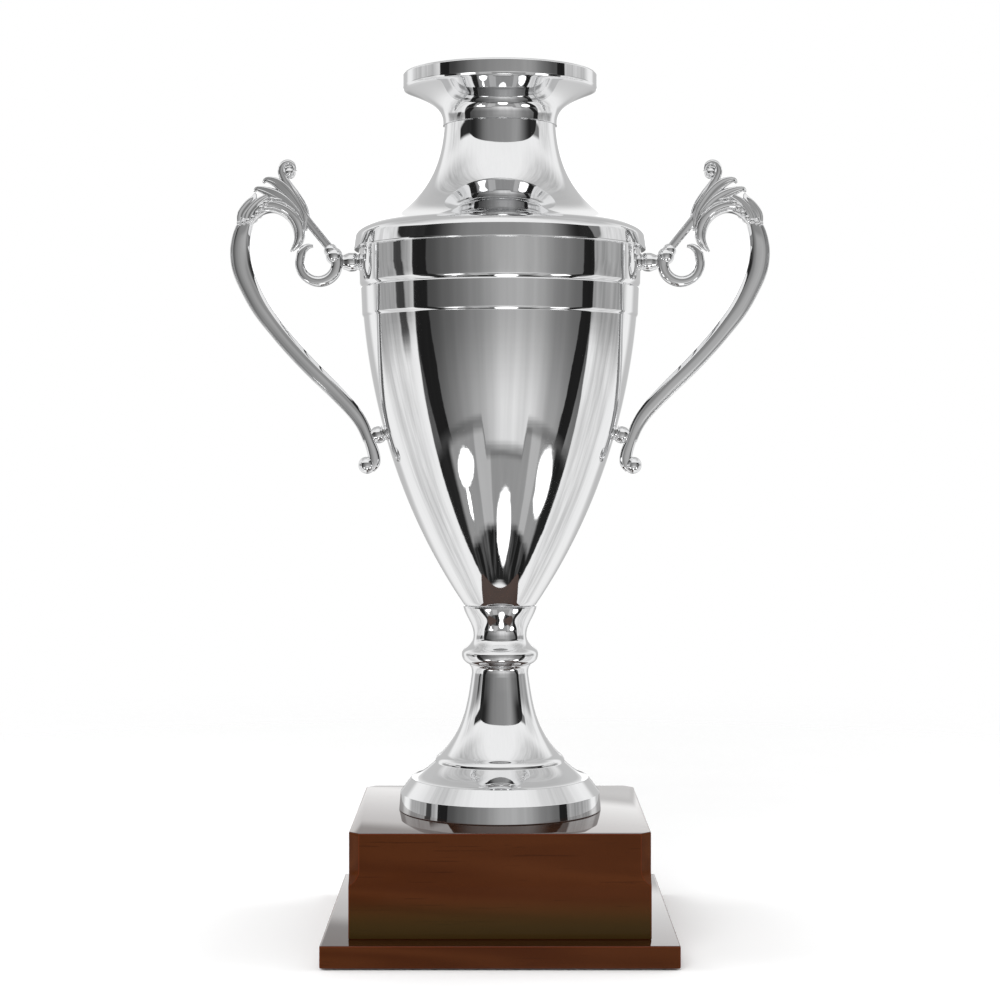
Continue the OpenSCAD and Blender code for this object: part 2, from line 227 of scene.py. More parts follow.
def lamp_mask(azimuth, elevation, half_width, half_height):
    """Soft oval of light in one direction."""
    across_lamp = (turn - azimuth + wobble * 0.9) / half_width
    along_lamp = (height - elevation + wobble * 0.7) / half_height
    reach = across_lamp ** 2.0 + along_lamp ** 2.0
    return reach.ramp(1.3, 0.6)


# Three lamps; the left one has a tail of light below it
lamps = lamp_mask(-42, -36, 10, 3.8) + lamp_mask(-45, -43.5, 2.2, 4) + lamp_mask(57, -37.5, 10, 7)
lamps = lamps + lamp_mask(7, -52.5, 12, 9)
room = room + lamps.math("MINIMUM", 1.0) * 2.6

# Black edges of the curtains, which lean in lower down, a dark strip of cloth further left, and a
# dark pelmet above the curtains, which tapers towards its ends
lean = (height * -1.0 - 5.0).math("MAXIMUM", 0.0)
left_curtain = abs(turn + 68.5 - lean * 0.36 + wobble * 0.5).ramp(7.6, 6.4)
right_curtain = abs(turn - 76.5 + lean * 0.42 + wobble * 0.4).ramp(6.0, 5.0)
curtain = (left_curtain + right_curtain).math("MINIMUM", 1.0) * height.ramp(-31, -26)
room = room.towards(grey(0.06) + strands * 0.02, curtain)
light = light.towards(room, opening)
second_edge = abs(turn + 90 + wobble * 1.1 + (height - 2) * 0.3).ramp(5.4, 3.2) * height.band(-9, 8, 3)
light = light.towards(grey(0.14), second_edge * 0.9)
pelmet = turn.band(-90, -62, 1.5) + turn.band(66, 88, 1.5) * 0.8
pelmet = pelmet * (height - around * 0.24 + 4.0).ramp(-1.2, 1.2) * height.ramp(25, 22)
light = light.towards(grey(0.1) + strands * 0.03, pelmet)

tent = sky.node("ShaderNodeBackground", {}, {"Color": (1, 1, 1, 1), "Strength": light})
backdrop = sky.node("ShaderNodeBackground", {}, {"Color": (1, 1, 1, 1), "Strength": 1.0})
eye = sky.node("ShaderNodeLightPath", {}, {})
shown = sky.node("ShaderNodeMixShader", {}, {0: eye, 1: tent, 2: backdrop})
sky.feed(world_nodes["World Output"], "Surface", shown)
bpy.context.scene.view_settings.view_transform = "Standard"


def new_material(name, fixed):
    """A Principled material with the values that are the same all over."""
    material = bpy.data.materials.new(name)
    material.use_nodes = True
    surface = material.node_tree.nodes["Principled BSDF"]
    for socket, value in fixed.items():
        surface.inputs[socket].default_value = value
    return material, surface, Shade(material.node_tree)


def place_of(shade, scale):
    """Object coordinates, stretched by a scale along each axis."""
    spot = shade.node("ShaderNodeTexCoord", {}, {}, 3)
    return shade.node("ShaderNodeMapping", {}, {"Vector": spot, "Scale": scale})


def mixed(mask, low, high):
    """Colour low where the mask is 0 and high where it is 1."""
    inputs = {0: mask, 6: low, 7: high}
    return mask.node("ShaderNodeMix", {"data_type": "RGBA"}, inputs, 2)


def bumped(shade, surface, depth, *heights):
    """Feeds a bump of this depth in metres, the sum of the heights, to the surface's normal."""
    total = heights[0]
    for more in heights[1:]:
        total = total + more
    shade.feed(surface, "Normal", shade.node("ShaderNodeBump", {}, {"Height": total, "Distance": depth}))


def finished(bm, name, material, smooth=True):
    """Turns millimetres into metres and the bmesh into an object in the scene."""
    bmesh.ops.scale(bm, vec=(MM, MM, MM), verts=bm.verts)
    mesh = bpy.data.meshes.new(name)
    bm.to_mesh(mesh)
    bm.free()
    for face in mesh.polygons:
        face.use_smooth = smooth
    mesh.materials.append(material)
    made = bpy.data.objects.new(name, mesh)
    bpy.context.scene.collection.objects.link(made)
    return made


# White table that the trophy stands on, fading into the backdrop
table_bm = bmesh.new()
bmesh.ops.create_circle(table_bm, cap_ends=True, radius=1400, segments=96)
table_paint, table_surface, table_shade = new_material(
    "table_white", {"Roughness": 0.9, "Specular IOR Level": 0.1}
)
table_spot = table_shade.node("ShaderNodeTexCoord", {}, {}, 3)
table_far = table_shade.node("ShaderNodeVectorMath", {"operation": "LENGTH"}, {0: table_spot}, 1)
table_grain = table_shade.noise(table_spot, 9.0)
table_colour = mixed(table_grain, (0.93, 0.93, 0.93, 1), (0.97, 0.97, 0.97, 1))
table_shade.feed(table_surface, "Base Color", table_colour)
table_shade.feed(table_surface, "Alpha", table_far.ramp(1.3, 0.35))
table = finished(table_bm, "table", table_paint)
table.visible_glossy = False

# Broad lamp above the camera and a weaker one at each side
for lamp_name, spot, size, watts in (
    ("front_lamp", (-0.5, -1.9, 1.5), 1.4, 26),
    ("left_lamp", (-1.8, 0.1, 1.1), 1.2, 14),
    ("right_lamp", (1.8, 0.3, 1.1), 1.2, 14),
):
    lamp_data = bpy.data.lights.new(lamp_name, "AREA")
    lamp_data.size = size
    lamp_data.energy = watts
    lamp = bpy.data.objects.new(lamp_name, lamp_data)
    lamp.location = spot
    lamp.rotation_euler = (Vector((0, 0, 0.2)) - Vector(spot)).to_track_quat("-Z", "Y").to_euler()
    lamp.visible_camera = False
    lamp.visible_glossy = False
    bpy.context.scene.collection.objects.link(lamp)


# ---------- Felt pad ----------
# Square of dark green wool felt, 1 mm thick, cut a little smaller than the base plate and glued
# under it, so that the lacquer doesn't scratch the shelf.
# The cut edge wanders a little, and the four corners are snipped
RAGGED = 0.16
CORNER_CUT = 3
CORNER_PULL = 1.0
felt_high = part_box("felt_pad")[1] / MM
felt_bm = bmesh.new()
felt_half = felt_high.x - 0.2
bmesh.ops.create_grid(felt_bm, x_segments=48, y_segments=48, size=felt_half)
for vert in felt_bm.verts:
    rim = max(abs(vert.co.x), abs(vert.co.y)) > felt_half - 0.01
    ragged = RAGGED * math.sin(vert.co.x * 0.9 + vert.co.y * 1.7) if rim else 0
    vert.co.xy *= 1 + ragged / felt_half
felt_corners = [v for v in felt_bm.verts if abs(v.co.x) + abs(v.co.y) > 2 * felt_half - CORNER_CUT]
for vert in felt_corners:
    vert.co.xy *= 1 - CORNER_PULL / felt_half
felt_top = bmesh.ops.extrude_face_region(felt_bm, geom=felt_bm.faces[:])["geom"]
felt_top_verts = [item for item in felt_top if isinstance(item, bmesh.types.BMVert)]
bmesh.ops.translate(felt_bm, vec=(0, 0, felt_high.z), verts=felt_top_verts)
bmesh.ops.recalc_face_normals(felt_bm, faces=felt_bm.faces)
felt, felt_surface, felt_shade = new_material(
    "green_felt",
    {"Roughness": 0.95, "Sheen Weight": 0.4, "Sheen Roughness": 0.5, "Specular IOR Level": 0.2},
)
felt_fibres = felt_shade.noise(place_of(felt_shade, (1, 1, 1)), 2600.0, 4.0, 0.7)
felt_clouds = felt_shade.noise(place_of(felt_shade, (1, 1, 1)), 60.0, 3.0)
felt_tone = (felt_fibres * 0.7 + felt_clouds * 0.3).ramp(0.3, 0.7)
felt_colour = mixed(felt_tone, (0.008, 0.035, 0.018, 1), (0.02, 0.085, 0.045, 1))
felt_shade.feed(felt_surface, "Base Color", felt_colour)
bumped(felt_shade, felt_surface, 0.0002, felt_fibres)
felt_sheet = finished(felt_bm, "felt_sheet", felt, smooth=False)
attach(felt_sheet, "root")
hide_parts("felt_pad")


# ---------- Base plate and block ----------
# Two pieces of solid mahogany, square on each other. The edges are eased by hand, the upright
# corners of the block have stopped chamfers, and the whole is stained and finished in gloss lacquer.
EASE = 0.7
EASE_STEPS = 4


def square_ring(bm, z, half, leg, round_r):
    """Ring of a square with chamfered and eased corners; a leg of 0 leaves the corner square."""
    leg = max(leg, round_r * (2 - math.sqrt(2)))
    back = half - leg - round_r * (math.sqrt(2) - 1)
    ring = []
    for quarter in range(4):
        spin = Matrix.Rotation(math.radians(90 * quarter), 3, "Z")
        for corner, first in (((half - round_r, back), 0), ((back, half - round_r), 45)):
            for step in range(EASE_STEPS):
                angle = math.radians(first + 45 * (step + 0.08) / (EASE_STEPS - 0.84))
                place = (corner[0] + round_r * math.cos(angle), corner[1] + round_r * math.sin(angle), z)
                ring.append(bm.verts.new(spin @ Vector(place)))
    return [bm.edges.new((ring[i - 1], ring[i])) for i in range(len(ring))]


def eased_board(name, low, high, leg_at, material):
    """Board from z low to high; leg_at gives the corners' chamfer at each height."""
    bm = bmesh.new()
    half = high.x
    levels = []
    for step in range(EASE_STEPS + 1):
        angle = math.radians(90 * step / EASE_STEPS)
        levels.append((low.z + EASE * (1 - math.sin(angle)), EASE * (1 - math.cos(angle))))
    levels = levels[::-1]
    steps = 60
    span = high.z - low.z - 2 * EASE
    levels += [(low.z + EASE + span * i / steps, 0) for i in range(1, steps)]
    for step in range(EASE_STEPS + 1):
        angle = math.radians(90 * step / EASE_STEPS)
        levels.append((high.z - EASE * (1 - math.sin(angle)), EASE * (1 - math.cos(angle))))
    rings = []
    for z, pull in levels:
        rings.append(square_ring(bm, z, half - pull, leg_at(z) - pull * (2 - math.sqrt(2)), EASE))
    for below, above in zip(rings, rings[1:]):
        bmesh.ops.bridge_loops(bm, edges=below + above)
    for ring in (rings[0], rings[-1]):
        bmesh.ops.contextual_create(bm, geom=ring)
    bmesh.ops.remove_doubles(bm, verts=bm.verts, dist=0.005)
    bmesh.ops.recalc_face_normals(bm, faces=bm.faces)
    return finished(bm, name, material)


def mahogany(name, seed, shade_from, shade_to):
    """Red-brown stained wood, its grain along X, under a clear coat; darker at the level shade_to."""
    material, surface, shade = new_material(
        name, {"Coat Roughness": 0.02, "Coat IOR": 1.6, "Specular IOR Level": 0.0}
    )
    spot = shade.node("ShaderNodeTexCoord", {}, {}, 3)
    shift = shade.node("ShaderNodeVectorMath", {"operation": "ADD"}, {0: spot, 1: seed})
    stretch = {"operation": "MULTIPLY"}
    long_place = shade.node("ShaderNodeVectorMath", stretch, {0: shift, 1: (1.4, 14, 14)})
    bend = shade.noise(long_place, 2.0, 2.0)
    pore_place = shade.node("ShaderNodeVectorMath", stretch, {0: shift, 1: (25, 900, 900)})
    figure = shade.node("ShaderNodeSeparateXYZ", {}, {"Vector": long_place}, 2)
    across_grain = shade.node("ShaderNodeSeparateXYZ", {}, {"Vector": long_place}, 1)
    rings = ((figure + across_grain * 0.6) * 24.0 + bend * 34.0).math("SINE") * 0.5 + 0.5
    pores = shade.noise(pore_place, 1.0, 2.0).ramp(0.36, 0.3)
    clouds = shade.noise(shift, 7.0, 3.0)
    tone = rings * 0.22 + clouds * 0.6 + bend * 0.3
    colour = mixed(tone.ramp(0.2, 0.9), (0.05, 0.0125, 0.0032, 1), (0.084, 0.0245, 0.0072, 1))
    colour = mixed(pores * 0.35, colour, (0.02, 0.006, 0.002, 1))
    level = shade.node("ShaderNodeSeparateXYZ", {}, {"Vector": spot}, 2)
    shaded_low = level.ramp(shade_from, shade_to) * 0.85
    colour = mixed(shaded_low, colour, (0.044, 0.0275, 0.0066, 1))
    facing = shade.node("ShaderNodeNewGeometry", {}, {}, 1)
    along = [abs(shade.node("ShaderNodeSeparateXYZ", {}, {"Vector": facing}, k)) for k in range(3)]
    off_square = 1.0 - along[0].math("MAXIMUM", along[1]).math("MAXIMUM", along[2])
    colour = mixed(off_square.band(0.05, 0.2, 0.03) * 0.8, colour, (0.15, 0.022, 0.008, 1))
    # Painted shade: upward faces get a much darker base colour, standing in for the dark reflection and dim
    # light on the tops, chiefly on the plate's strip in front of the block
    level_top = along[2].ramp(0.5, 0.95)
    colour = mixed(level_top * 0.75, colour, (0.02, 0.008, 0.003, 1))
    shade.feed(surface, "Base Color", colour)
    shade.feed(surface, "Roughness", clouds * 0.15 + 0.32)
    worn = shade.noise(shift, 40.0).ramp(0.62, 0.8)
    shade.feed(surface, "Coat Weight", level_top * 0.84 + 0.14 - worn * 0.05)
    bumped(shade, surface, 0.00004, pores * -0.5, clouds * 0.6)
    return material


plate_low, plate_high = (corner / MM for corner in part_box("plinth_plate"))
block_low, block_high = (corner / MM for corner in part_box("plinth_block"))
CHAMFER = 6.0
CHAMFER_RUN = 20.5
STOP_RUN = 9.0
stop_depth = CHAMFER / math.sqrt(2)
stop_r = (stop_depth ** 2 + STOP_RUN ** 2) / (2 * stop_depth)


def block_corner(z):
    """Leg of the block's corner chamfer: full at the top, then a round stop."""
    below = block_high.z - CHAMFER_RUN - z
    if below <= 0:
        return CHAMFER
    if below >= STOP_RUN:
        return 0.0
    return (stop_depth - stop_r + math.sqrt(stop_r ** 2 - below ** 2)) * math.sqrt(2)


plate_wood = mahogany("mahogany_plate", (3, 1, 0), (plate_low.z + 1) * MM, (plate_low.z - 3) * MM)
base_plate = eased_board("base_plate", plate_low, plate_high, lambda z: 0.0, plate_wood)
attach(base_plate, "root")
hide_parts("plinth_plate")
block_wood = mahogany("mahogany_block", (0, 0, 0), (block_low.z + 26) * MM, (block_low.z + 6) * MM)
plinth = eased_board("plinth_body", block_low, block_high, block_corner, block_wood)
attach(plinth, "root")
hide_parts("plinth_block")


# ---------- Zinc fasteners ----------
# Countersunk wood screws up through the plate, and the rod, nuts and washers that pull the stack
# together. They are bought parts: bright zinc over steel, with a faint yellow-blue cast.
zinc, zinc_surface, zinc_shade = new_material("zinc_steel", {"Metallic": 1.0})
zinc_cast = zinc_shade.noise(place_of(zinc_shade, (1, 1, 1)), 90.0, 3.0)
zinc_grain = zinc_shade.noise(place_of(zinc_shade, (1, 1, 1)), 1500.0, 2.0)
zinc_colour = mixed(zinc_cast, (0.56, 0.58, 0.62, 1), (0.66, 0.63, 0.54, 1))
zinc_shade.feed(zinc_surface, "Base Color", zinc_colour)
zinc_shade.feed(zinc_surface, "Roughness", zinc_grain * 0.2 + 0.25)
bumped(zinc_shade, zinc_surface, 0.00003, zinc_grain)
for node in (
    "plinth_screws", "tie_rod", "bowl_washer", "bowl_nut", "base_washer", "base_nut",
    "handle_screws", "handle_washers",
):
    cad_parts[node].data.materials.clear()
    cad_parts[node].data.materials.append(zinc)


# ---------- Pedestal ----------
# Foot ring and trumpet, spun from one sheet of brass with a flat top for the rod, then buffed and
# plated in bright nickel.
SPIN_STEPS = 180


def cubic(a, b, c, d, steps):
    """Points on the cubic curve with ends a, d and handles b, c, without the last."""
    made = []
    for i in range(steps):
        t = i / steps
        u = 1 - t
        weights = (u ** 3, 3 * u * u * t, 3 * u * t * t, t ** 3)
        made.append(tuple(sum(w * p[k] for w, p in zip(weights, (a, b, c, d))) for k in (0, 1)))
    return made


def inside(skin, wall):
    """The outline's other face: each point moved inwards by the wall, last point first."""
    made = []
    for i in range(len(skin)):
        a = Vector(skin[max(i - 1, 0)])
        b = Vector(skin[min(i + 1, len(skin) - 1)])
        along = (b - a).normalized()
        made.append((skin[i][0] - along.y * wall, skin[i][1] + along.x * wall))
    return made[::-1]


def turned(name, outline, base_z, material, edge=0.35, axis=None):
    """Solid of revolution from a closed outline of (radius, height) points, its sharp edges eased.

    It stands on the Z axis from base_z up, or where the matrix axis takes it."""
    bm = bmesh.new()
    verts = [bm.verts.new((r, 0, z)) for r, z in outline]
    edges = [bm.edges.new((verts[i - 1], verts[i])) for i in range(len(verts))]
    bmesh.ops.spin(
        bm, geom=verts + edges, cent=(0, 0, 0), axis=(0, 0, 1), dvec=(0, 0, 0),
        angle=math.tau, steps=SPIN_STEPS, use_merge=True, use_duplicate=False,
    )
    bmesh.ops.remove_doubles(bm, verts=bm.verts, dist=0.0005)
    bmesh.ops.recalc_face_normals(bm, faces=bm.faces)
    bmesh.ops.transform(bm, matrix=axis or Matrix.Translation((0, 0, base_z)), verts=bm.verts)
    made = finished(bm, name, material)
    easing = made.modifiers.new("eased_edges", "BEVEL")
    easing.width = edge * MM
    easing.segments = 3
    easing.limit_method = "ANGLE"
    easing.angle_limit = math.radians(24)
    easing.harden_normals = True
    return made


def nickel(name, ripple):
    """Bright plated metal, with the slight waves that spinning and buffing leave in it."""
    material, surface, shade = new_material(name, {"Metallic": 1.0})
    haze = shade.noise(place_of(shade, (1, 1, 1)), 28.0, 4.0)
    swirl = shade.noise(place_of(shade, (6, 6, 60)), 8.0, 3.0)
    waves = shade.noise(place_of(shade, (1, 1, 0.5)), 34.0, 2.0)
    lines = shade.noise(place_of(shade, (2, 2, 160)), 1.0, 2.0)
    dust = shade.noise(place_of(shade, (1, 1, 1)), 900.0, 2.0).ramp(0.72, 0.8)
    shade.feed(surface, "Base Color", mixed(haze, (0.86, 0.865, 0.875, 1), (0.9, 0.9, 0.9, 1)))
    shade.feed(surface, "Roughness", haze.ramp(0.45, 0.75) * 0.035 + swirl * 0.02 + dust * 0.1 + 0.018)
    bumped(shade, surface, ripple, waves, lines * 0.12)
    return material


spun_nickel = nickel("spun_nickel", 0.00012)
foot_low, foot_high = (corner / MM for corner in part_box("pedestal"))
foot_r = foot_high.x
foot_h = foot_high.z - foot_low.z
ROD_HOLE = 4.25
WALL = 1.2
crease = (foot_r - 21.9, 28.4)
cove = (foot_r - 24.9, 32.8)
throat = (foot_r - 43.7, foot_h - 5.5)
disc_r = foot_r - 42.1
foot_skin = [(foot_r, 0.4), (foot_r - 0.8, 10.2)]
foot_skin += cubic((foot_r - 7.6, 19.1), (foot_r - 13.5, 20.6), (crease[0] + 4.4, 24.5), crease, 16)
foot_skin += cubic(crease, (crease[0] - 0.1, 30.4), (cove[0] + 1.8, 31.8), cove, 8)
foot_skin += cubic(cove, (cove[0] - 14.6, 47.1), (throat[0] + 2.5, 63.6), throat, 40)
top_edge = (disc_r, foot_h - 0.4)
foot_skin += cubic(throat, (throat[0], foot_h - 2.5), (throat[0] + 0.5, foot_h - 1.2), top_edge, 8)
foot_inside = [p for p in inside(foot_skin, WALL) if p[1] < foot_h - 3.5]
foot_outline = [(foot_r - 0.4, 0)] + foot_skin
foot_outline += [(disc_r, foot_h), (ROD_HOLE, foot_h), (ROD_HOLE, foot_h - 2), (disc_r - 2.6, foot_h - 2)]
foot_outline += foot_inside + [(foot_r - WALL, 0)]
foot = turned("foot_shell", foot_outline, foot_low.z, spun_nickel)
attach(foot, "root")
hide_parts("pedestal")


# ---------- Stem ----------
# Cast zinc knop and waist in one piece, drilled through for the rod, turned, buffed and plated. It
# sits between the pedestal's flat top and the underside of the bowl.
cast_nickel = nickel("cast_nickel", 0.00006)
stem_low, stem_high = (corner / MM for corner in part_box("stem"))
stem_h = stem_high.z - stem_low.z
knop = (stem_high.x, 6.2)
waist = (15.8, 17.3)
collar = (21.9, stem_h - 1)
stem_outline = [(ROD_HOLE, 0), (disc_r, 0)]
stem_outline += cubic((disc_r, 0.2), (knop[0] - 1.4, 1.4), (knop[0], 3.4), knop, 12)
stem_outline += cubic(knop, (knop[0], 10.6), (waist[0], 10.8), waist, 20)
stem_outline += cubic(waist, (waist[0], 24), (collar[0] - 1.6, 28.2), collar, 20)
stem_outline += [collar, (collar[0] - 0.2, stem_h - 0.3), (collar[0] - 0.9, stem_h), (ROD_HOLE, stem_h)]
stem = turned("stem_casting", stem_outline, stem_low.z, cast_nickel, 0.2)
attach(stem, "root")
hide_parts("stem")


# ---------- Bowl ----------
# The cup's body: spun brass with two raised bands rolled in near the top, holed through the bottom
# for the rod.
bowl_low, bowl_high = (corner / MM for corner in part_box("bowl"))
BODY_R = 81.8
BODY_H = 172.2
BAND_H = 18.0
rim_r = bowl_high.x
band_r = BODY_R + 0.9
join_z = BODY_H + BAND_H
rim_z = bowl_high.z - bowl_low.z
bowl_base = (21.6, 0.6)
bowl_body = cubic(bowl_base, (56, 51.2), (BODY_R - 5.8, BODY_H - 62), (BODY_R, BODY_H), 72)
bowl_outline = [(ROD_HOLE, 0), (20.9, 0)] + bowl_body
bowl_outline += [(BODY_R, BODY_H), (BODY_R + 0.6, BODY_H + 1), (band_r - 0.05, BODY_H + 1.65)]
bowl_outline += [(band_r, BODY_H + 2.2)]
bowl_outline += [(band_r + 0.7, join_z - 0.6), (band_r + 0.2, join_z), (band_r + 0.8, join_z + 1)]
bowl_outline += [(band_r + 1.25, join_z + 1.9), (band_r + 1.4, join_z + 2.6)]
bowl_outline += [(rim_r, join_z + 12), (rim_r, rim_z)]
bowl_outline += [(rim_r - WALL, rim_z), (rim_r - WALL, join_z + 12), (BODY_R - WALL, BODY_H)]
bowl_outline += [p for p in inside(bowl_body, WALL) if p[1] > WALL + 0.3]
bowl_outline += [(20.4, WALL), (ROD_HOLE, WALL)]
cup = turned("bowl_shell", bowl_outline, bowl_low.z, spun_nickel, 0.3)
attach(cup, "root")
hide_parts("bowl")


# ---------- Shoulder and neck ----------
# Second spinning: a rolled skirt that fits over the bowl's rim, and a shoulder that sweeps up into
# a narrow neck.
neck_low, neck_high = (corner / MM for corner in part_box("neck_shoulder"))
skirt_r = neck_high.x
shoulder_h = neck_high.z - neck_low.z
NECK_R = 33.4
lip = (80, 14.2)
neck_top = (NECK_R, shoulder_h)
shoulder_skin = cubic(lip, (45, 25.1), (NECK_R + 1.6, 49.6), neck_top, 60)
shoulder_outline = [(rim_r + 0.1, 0), (skirt_r - 0.3, 0), (skirt_r, 0.8), (skirt_r - 0.9, 7.5)]
shoulder_outline += cubic((skirt_r - 1.1, 8.4), (skirt_r - 1.8, 10.4), (skirt_r - 3.6, 12.2), lip, 10)
shoulder_outline += shoulder_skin + [neck_top, (NECK_R - WALL, shoulder_h)]
shoulder_outline += [p for p in inside(shoulder_skin, WALL) if p[0] < lip[0] - 1.5]
shoulder_outline += [(78.6, 12.6), (rim_r - 2.4, 10.2), (rim_r - 2.4, 8.6), (rim_r + 0.1, 8.6)]
shoulder = turned("shoulder_shell", shoulder_outline, neck_low.z, spun_nickel)
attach(shoulder, "root")
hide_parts("neck_shoulder")


# ---------- Mouth ----------
# Third spinning: a collar with a spigot that is pressed into the neck, a flare, and a tall upright
# ring with a rolled edge.
mouth_low, mouth_high = (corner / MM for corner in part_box("mouth_flare"))
SPIGOT_H = 8.0
mouth_r = mouth_high.x
mouth_h = mouth_high.z - mouth_low.z - SPIGOT_H
collar_r = NECK_R + 0.8
spigot_r = NECK_R - WALL - 0.1
flare_low = (collar_r, 2.2)
flare_top = (mouth_r - 1.9, mouth_h - 10.3)
ring_z = flare_top[1]
flare_skin = cubic(flare_low, (collar_r + 0.2, 11.2), (flare_top[0] - 12.8, ring_z - 4.9), flare_top, 32)
mouth_outline = [(spigot_r - WALL, -SPIGOT_H), (spigot_r, -SPIGOT_H), (spigot_r, 0), (collar_r, 0)]
mouth_outline += flare_skin
mouth_outline += [flare_top, (mouth_r - 0.6, ring_z + 0.7), (mouth_r, ring_z + 2), (mouth_r, mouth_h - 1)]
mouth_outline += [(mouth_r - 0.5, mouth_h - 0.2), (mouth_r - 1.1, mouth_h), (mouth_r - 1.8, mouth_h - 0.4)]
mouth_outline += [(mouth_r - 2, mouth_h - 1.2), (mouth_r - 2, ring_z + 3), (flare_top[0] - 1, ring_z + 1.3)]
mouth_outline += [p for p in inside(flare_skin, WALL) if p[1] > 3] + [(spigot_r - WALL, 2.2)]
mouth = turned("mouth_shell", mouth_outline, neck_high.z, spun_nickel)
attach(mouth, "root")
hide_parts("mouth_flare")


# ---------- Handles ----------
# A mirrored pair of die castings. A flat-faced strap rises from the lower post to a cuff of curled
# leaves, a plume stands on the leaves, and a rod and a hook run in to the upper post.
HANDLE_FOOT = foot_low.z
PATH_STEPS = 5


def smooth_route(points):
    """Points on the smooth path through these, each [x, z, width, depth]."""
    made = []
    for i in range(len(points) - 1):
        near = [points[max(i - 1, 0)], points[i], points[i + 1], points[min(i + 2, len(points) - 1)]]
        for step in range(PATH_STEPS):
            t = step / PATH_STEPS
            weights = (
                -t + 2 * t * t - t ** 3, 2 - 5 * t * t + 3 * t ** 3,
                t + 4 * t * t - 3 * t ** 3, t ** 3 - t * t,
            )
            made.append([sum(0.5 * w * p[k] for w, p in zip(weights, near)) for k in range(4)])
    return made + [list(points[-1])]


# Half sections as (across, deep) shares of the half width and half depth
FLAT = (
    (1, 0.3), (1, 0.476), (0.99, 0.548), (0.96, 0.613), (0.93, 0.643), (0.8, 0.76), (0.68, 0.858),
    (0.62, 0.896), (0.5, 0.945), (0.3, 0.99),
)
ROUND = ((0.98, 0.2), (0.83, 0.56), (0.56, 0.83), (0.2, 0.98))
LEAF = ((1, 0.2), (0.84, 0.62), (0.6, 0.84), (0.24, 0.7))


def strand(bm, points, section):
    """Bar with this section along a path in the XZ plane, closed at both ends."""
    path = smooth_route(points)
    half = list(section) + [(-x, y) for x, y in section[::-1]]
    whole = half + [(-x, -y) for x, y in half]
    rings = []
    for i, (x, z, wide, deep) in enumerate(path):
        a = path[max(i - 1, 0)]
        b = path[min(i + 1, len(path) - 1)]
        along = Vector((b[0] - a[0], 0, b[1] - a[1])).normalized()
        side = Vector((along.z, 0, -along.x))
        verts = []
        for u, v in whole:
            spot = Vector((x, 0, z + HANDLE_FOOT)) + side * (u * wide / 2) + Vector((0, -v * deep / 2, 0))
            verts.append(bm.verts.new(spot))
        rings.append([bm.edges.new((verts[k - 1], verts[k])) for k in range(len(verts))])
    for below, above in zip(rings, rings[1:]):
        bmesh.ops.bridge_loops(bm, edges=below + above)
    for ring in (rings[0], rings[-1]):
        bmesh.ops.contextual_create(bm, geom=ring)


def beside(points, share, wide, deeper):
    """The same path moved sideways by a share of its half width, for a rim this wide."""
    made = []
    for i, (x, z, width, depth) in enumerate(points):
        a = points[max(i - 1, 0)]
        b = points[min(i + 1, len(points) - 1)]
        along = Vector((b[0] - a[0], b[1] - a[1])).normalized() * (width / 2 * share)
        made.append((x + along.y, z - along.x, wide, depth + deeper))
    return made


def bead(bm, x, z, radius, y=0.0, stretch=1.0):
    """Small ball, stretched front to back by this much."""
    matrix = Matrix.Translation((x, y, z + HANDLE_FOOT)) @ Matrix.Diagonal((1, stretch, 1, 1))
    bmesh.ops.create_uvsphere(bm, u_segments=20, v_segments=12, radius=radius, matrix=matrix)


# Paths of the right handle, each point as (X, height above the foot's underside, width in the
# handle's plane, depth from front to back)
strap = (
    (151.5, 353, 8, 8), (154.3, 345, 10.4, 9.5), (155.65, 335, 12, 9.5), (154.2, 323, 12.3, 9.5),
    (149.4, 311, 11.6, 9.5), (142.8, 299, 11, 9.5), (133.8, 287, 10.2, 9), (123.6, 275, 10, 9),
    (112.2, 263, 9.8, 9), (99.9, 251, 9.3, 8.5), (88.6, 239, 8.5, 8.5), (82.4, 230, 7.4, 8),
    (78.6, 221, 6.6, 8), (76, 213.5, 7.2, 7.5), (75.4, 207.5, 7, 7), (77.6, 203.2, 5, 6.5),
)
inner_rim = (
    (151.2, 346.5, 2, 7), (149.2, 351.4, 3.2, 8.5), (146, 355.2, 3.6, 9.5), (141.3, 358, 3.6, 9.5),
    (135.8, 358.7, 3.6, 9.5), (130.4, 356.9, 3.6, 9.5), (126, 353.5, 3.6, 9), (123.4, 349.4, 3.4, 8.5),
    (122.2, 344.4, 3, 7.5), (122.6, 339.8, 2.4, 6), (125.6, 333.8, 1, 3),
)
broad_leaf = (
    (146.6, 357.4, 3, 9), (142.4, 360.8, 5.4, 11), (136.8, 361.8, 6.2, 11.6), (130.6, 360.2, 6.4, 11.6),
    (125, 356.6, 6.6, 11.4), (121.2, 351.6, 6.8, 10.8), (119.6, 345.8, 6.2, 9.4), (120.6, 340, 4.8, 7.6),
    (124.6, 334.4, 1.4, 3),
)
cuff_outer = (
    (155.6, 349.6, 4, 8), (155, 356, 5.4, 10), (151.6, 361.2, 5.6, 10), (147.8, 365.2, 4.4, 9),
    (146.6, 368.6, 1.6, 4),
)
cuff_inner = (
    (151.6, 349.8, 4.6, 9), (150.6, 355.4, 5.2, 10.6), (147.4, 360.2, 5.6, 11), (143, 364.2, 5.4, 10.6),
    (138.4, 367, 3.4, 9),
)
lobe_low = (
    (118, 347.6, 2.6, 8), (119.6, 353.6, 4.4, 10), (124, 359.6, 5.8, 10.8), (129.8, 364.8, 7, 11.2),
    (136.2, 368.4, 7, 10.5), (142, 370.7, 4.8, 8.5), (145.8, 371.4, 2.8, 6.5), (147.5, 369.6, 1.2, 3.5),
)
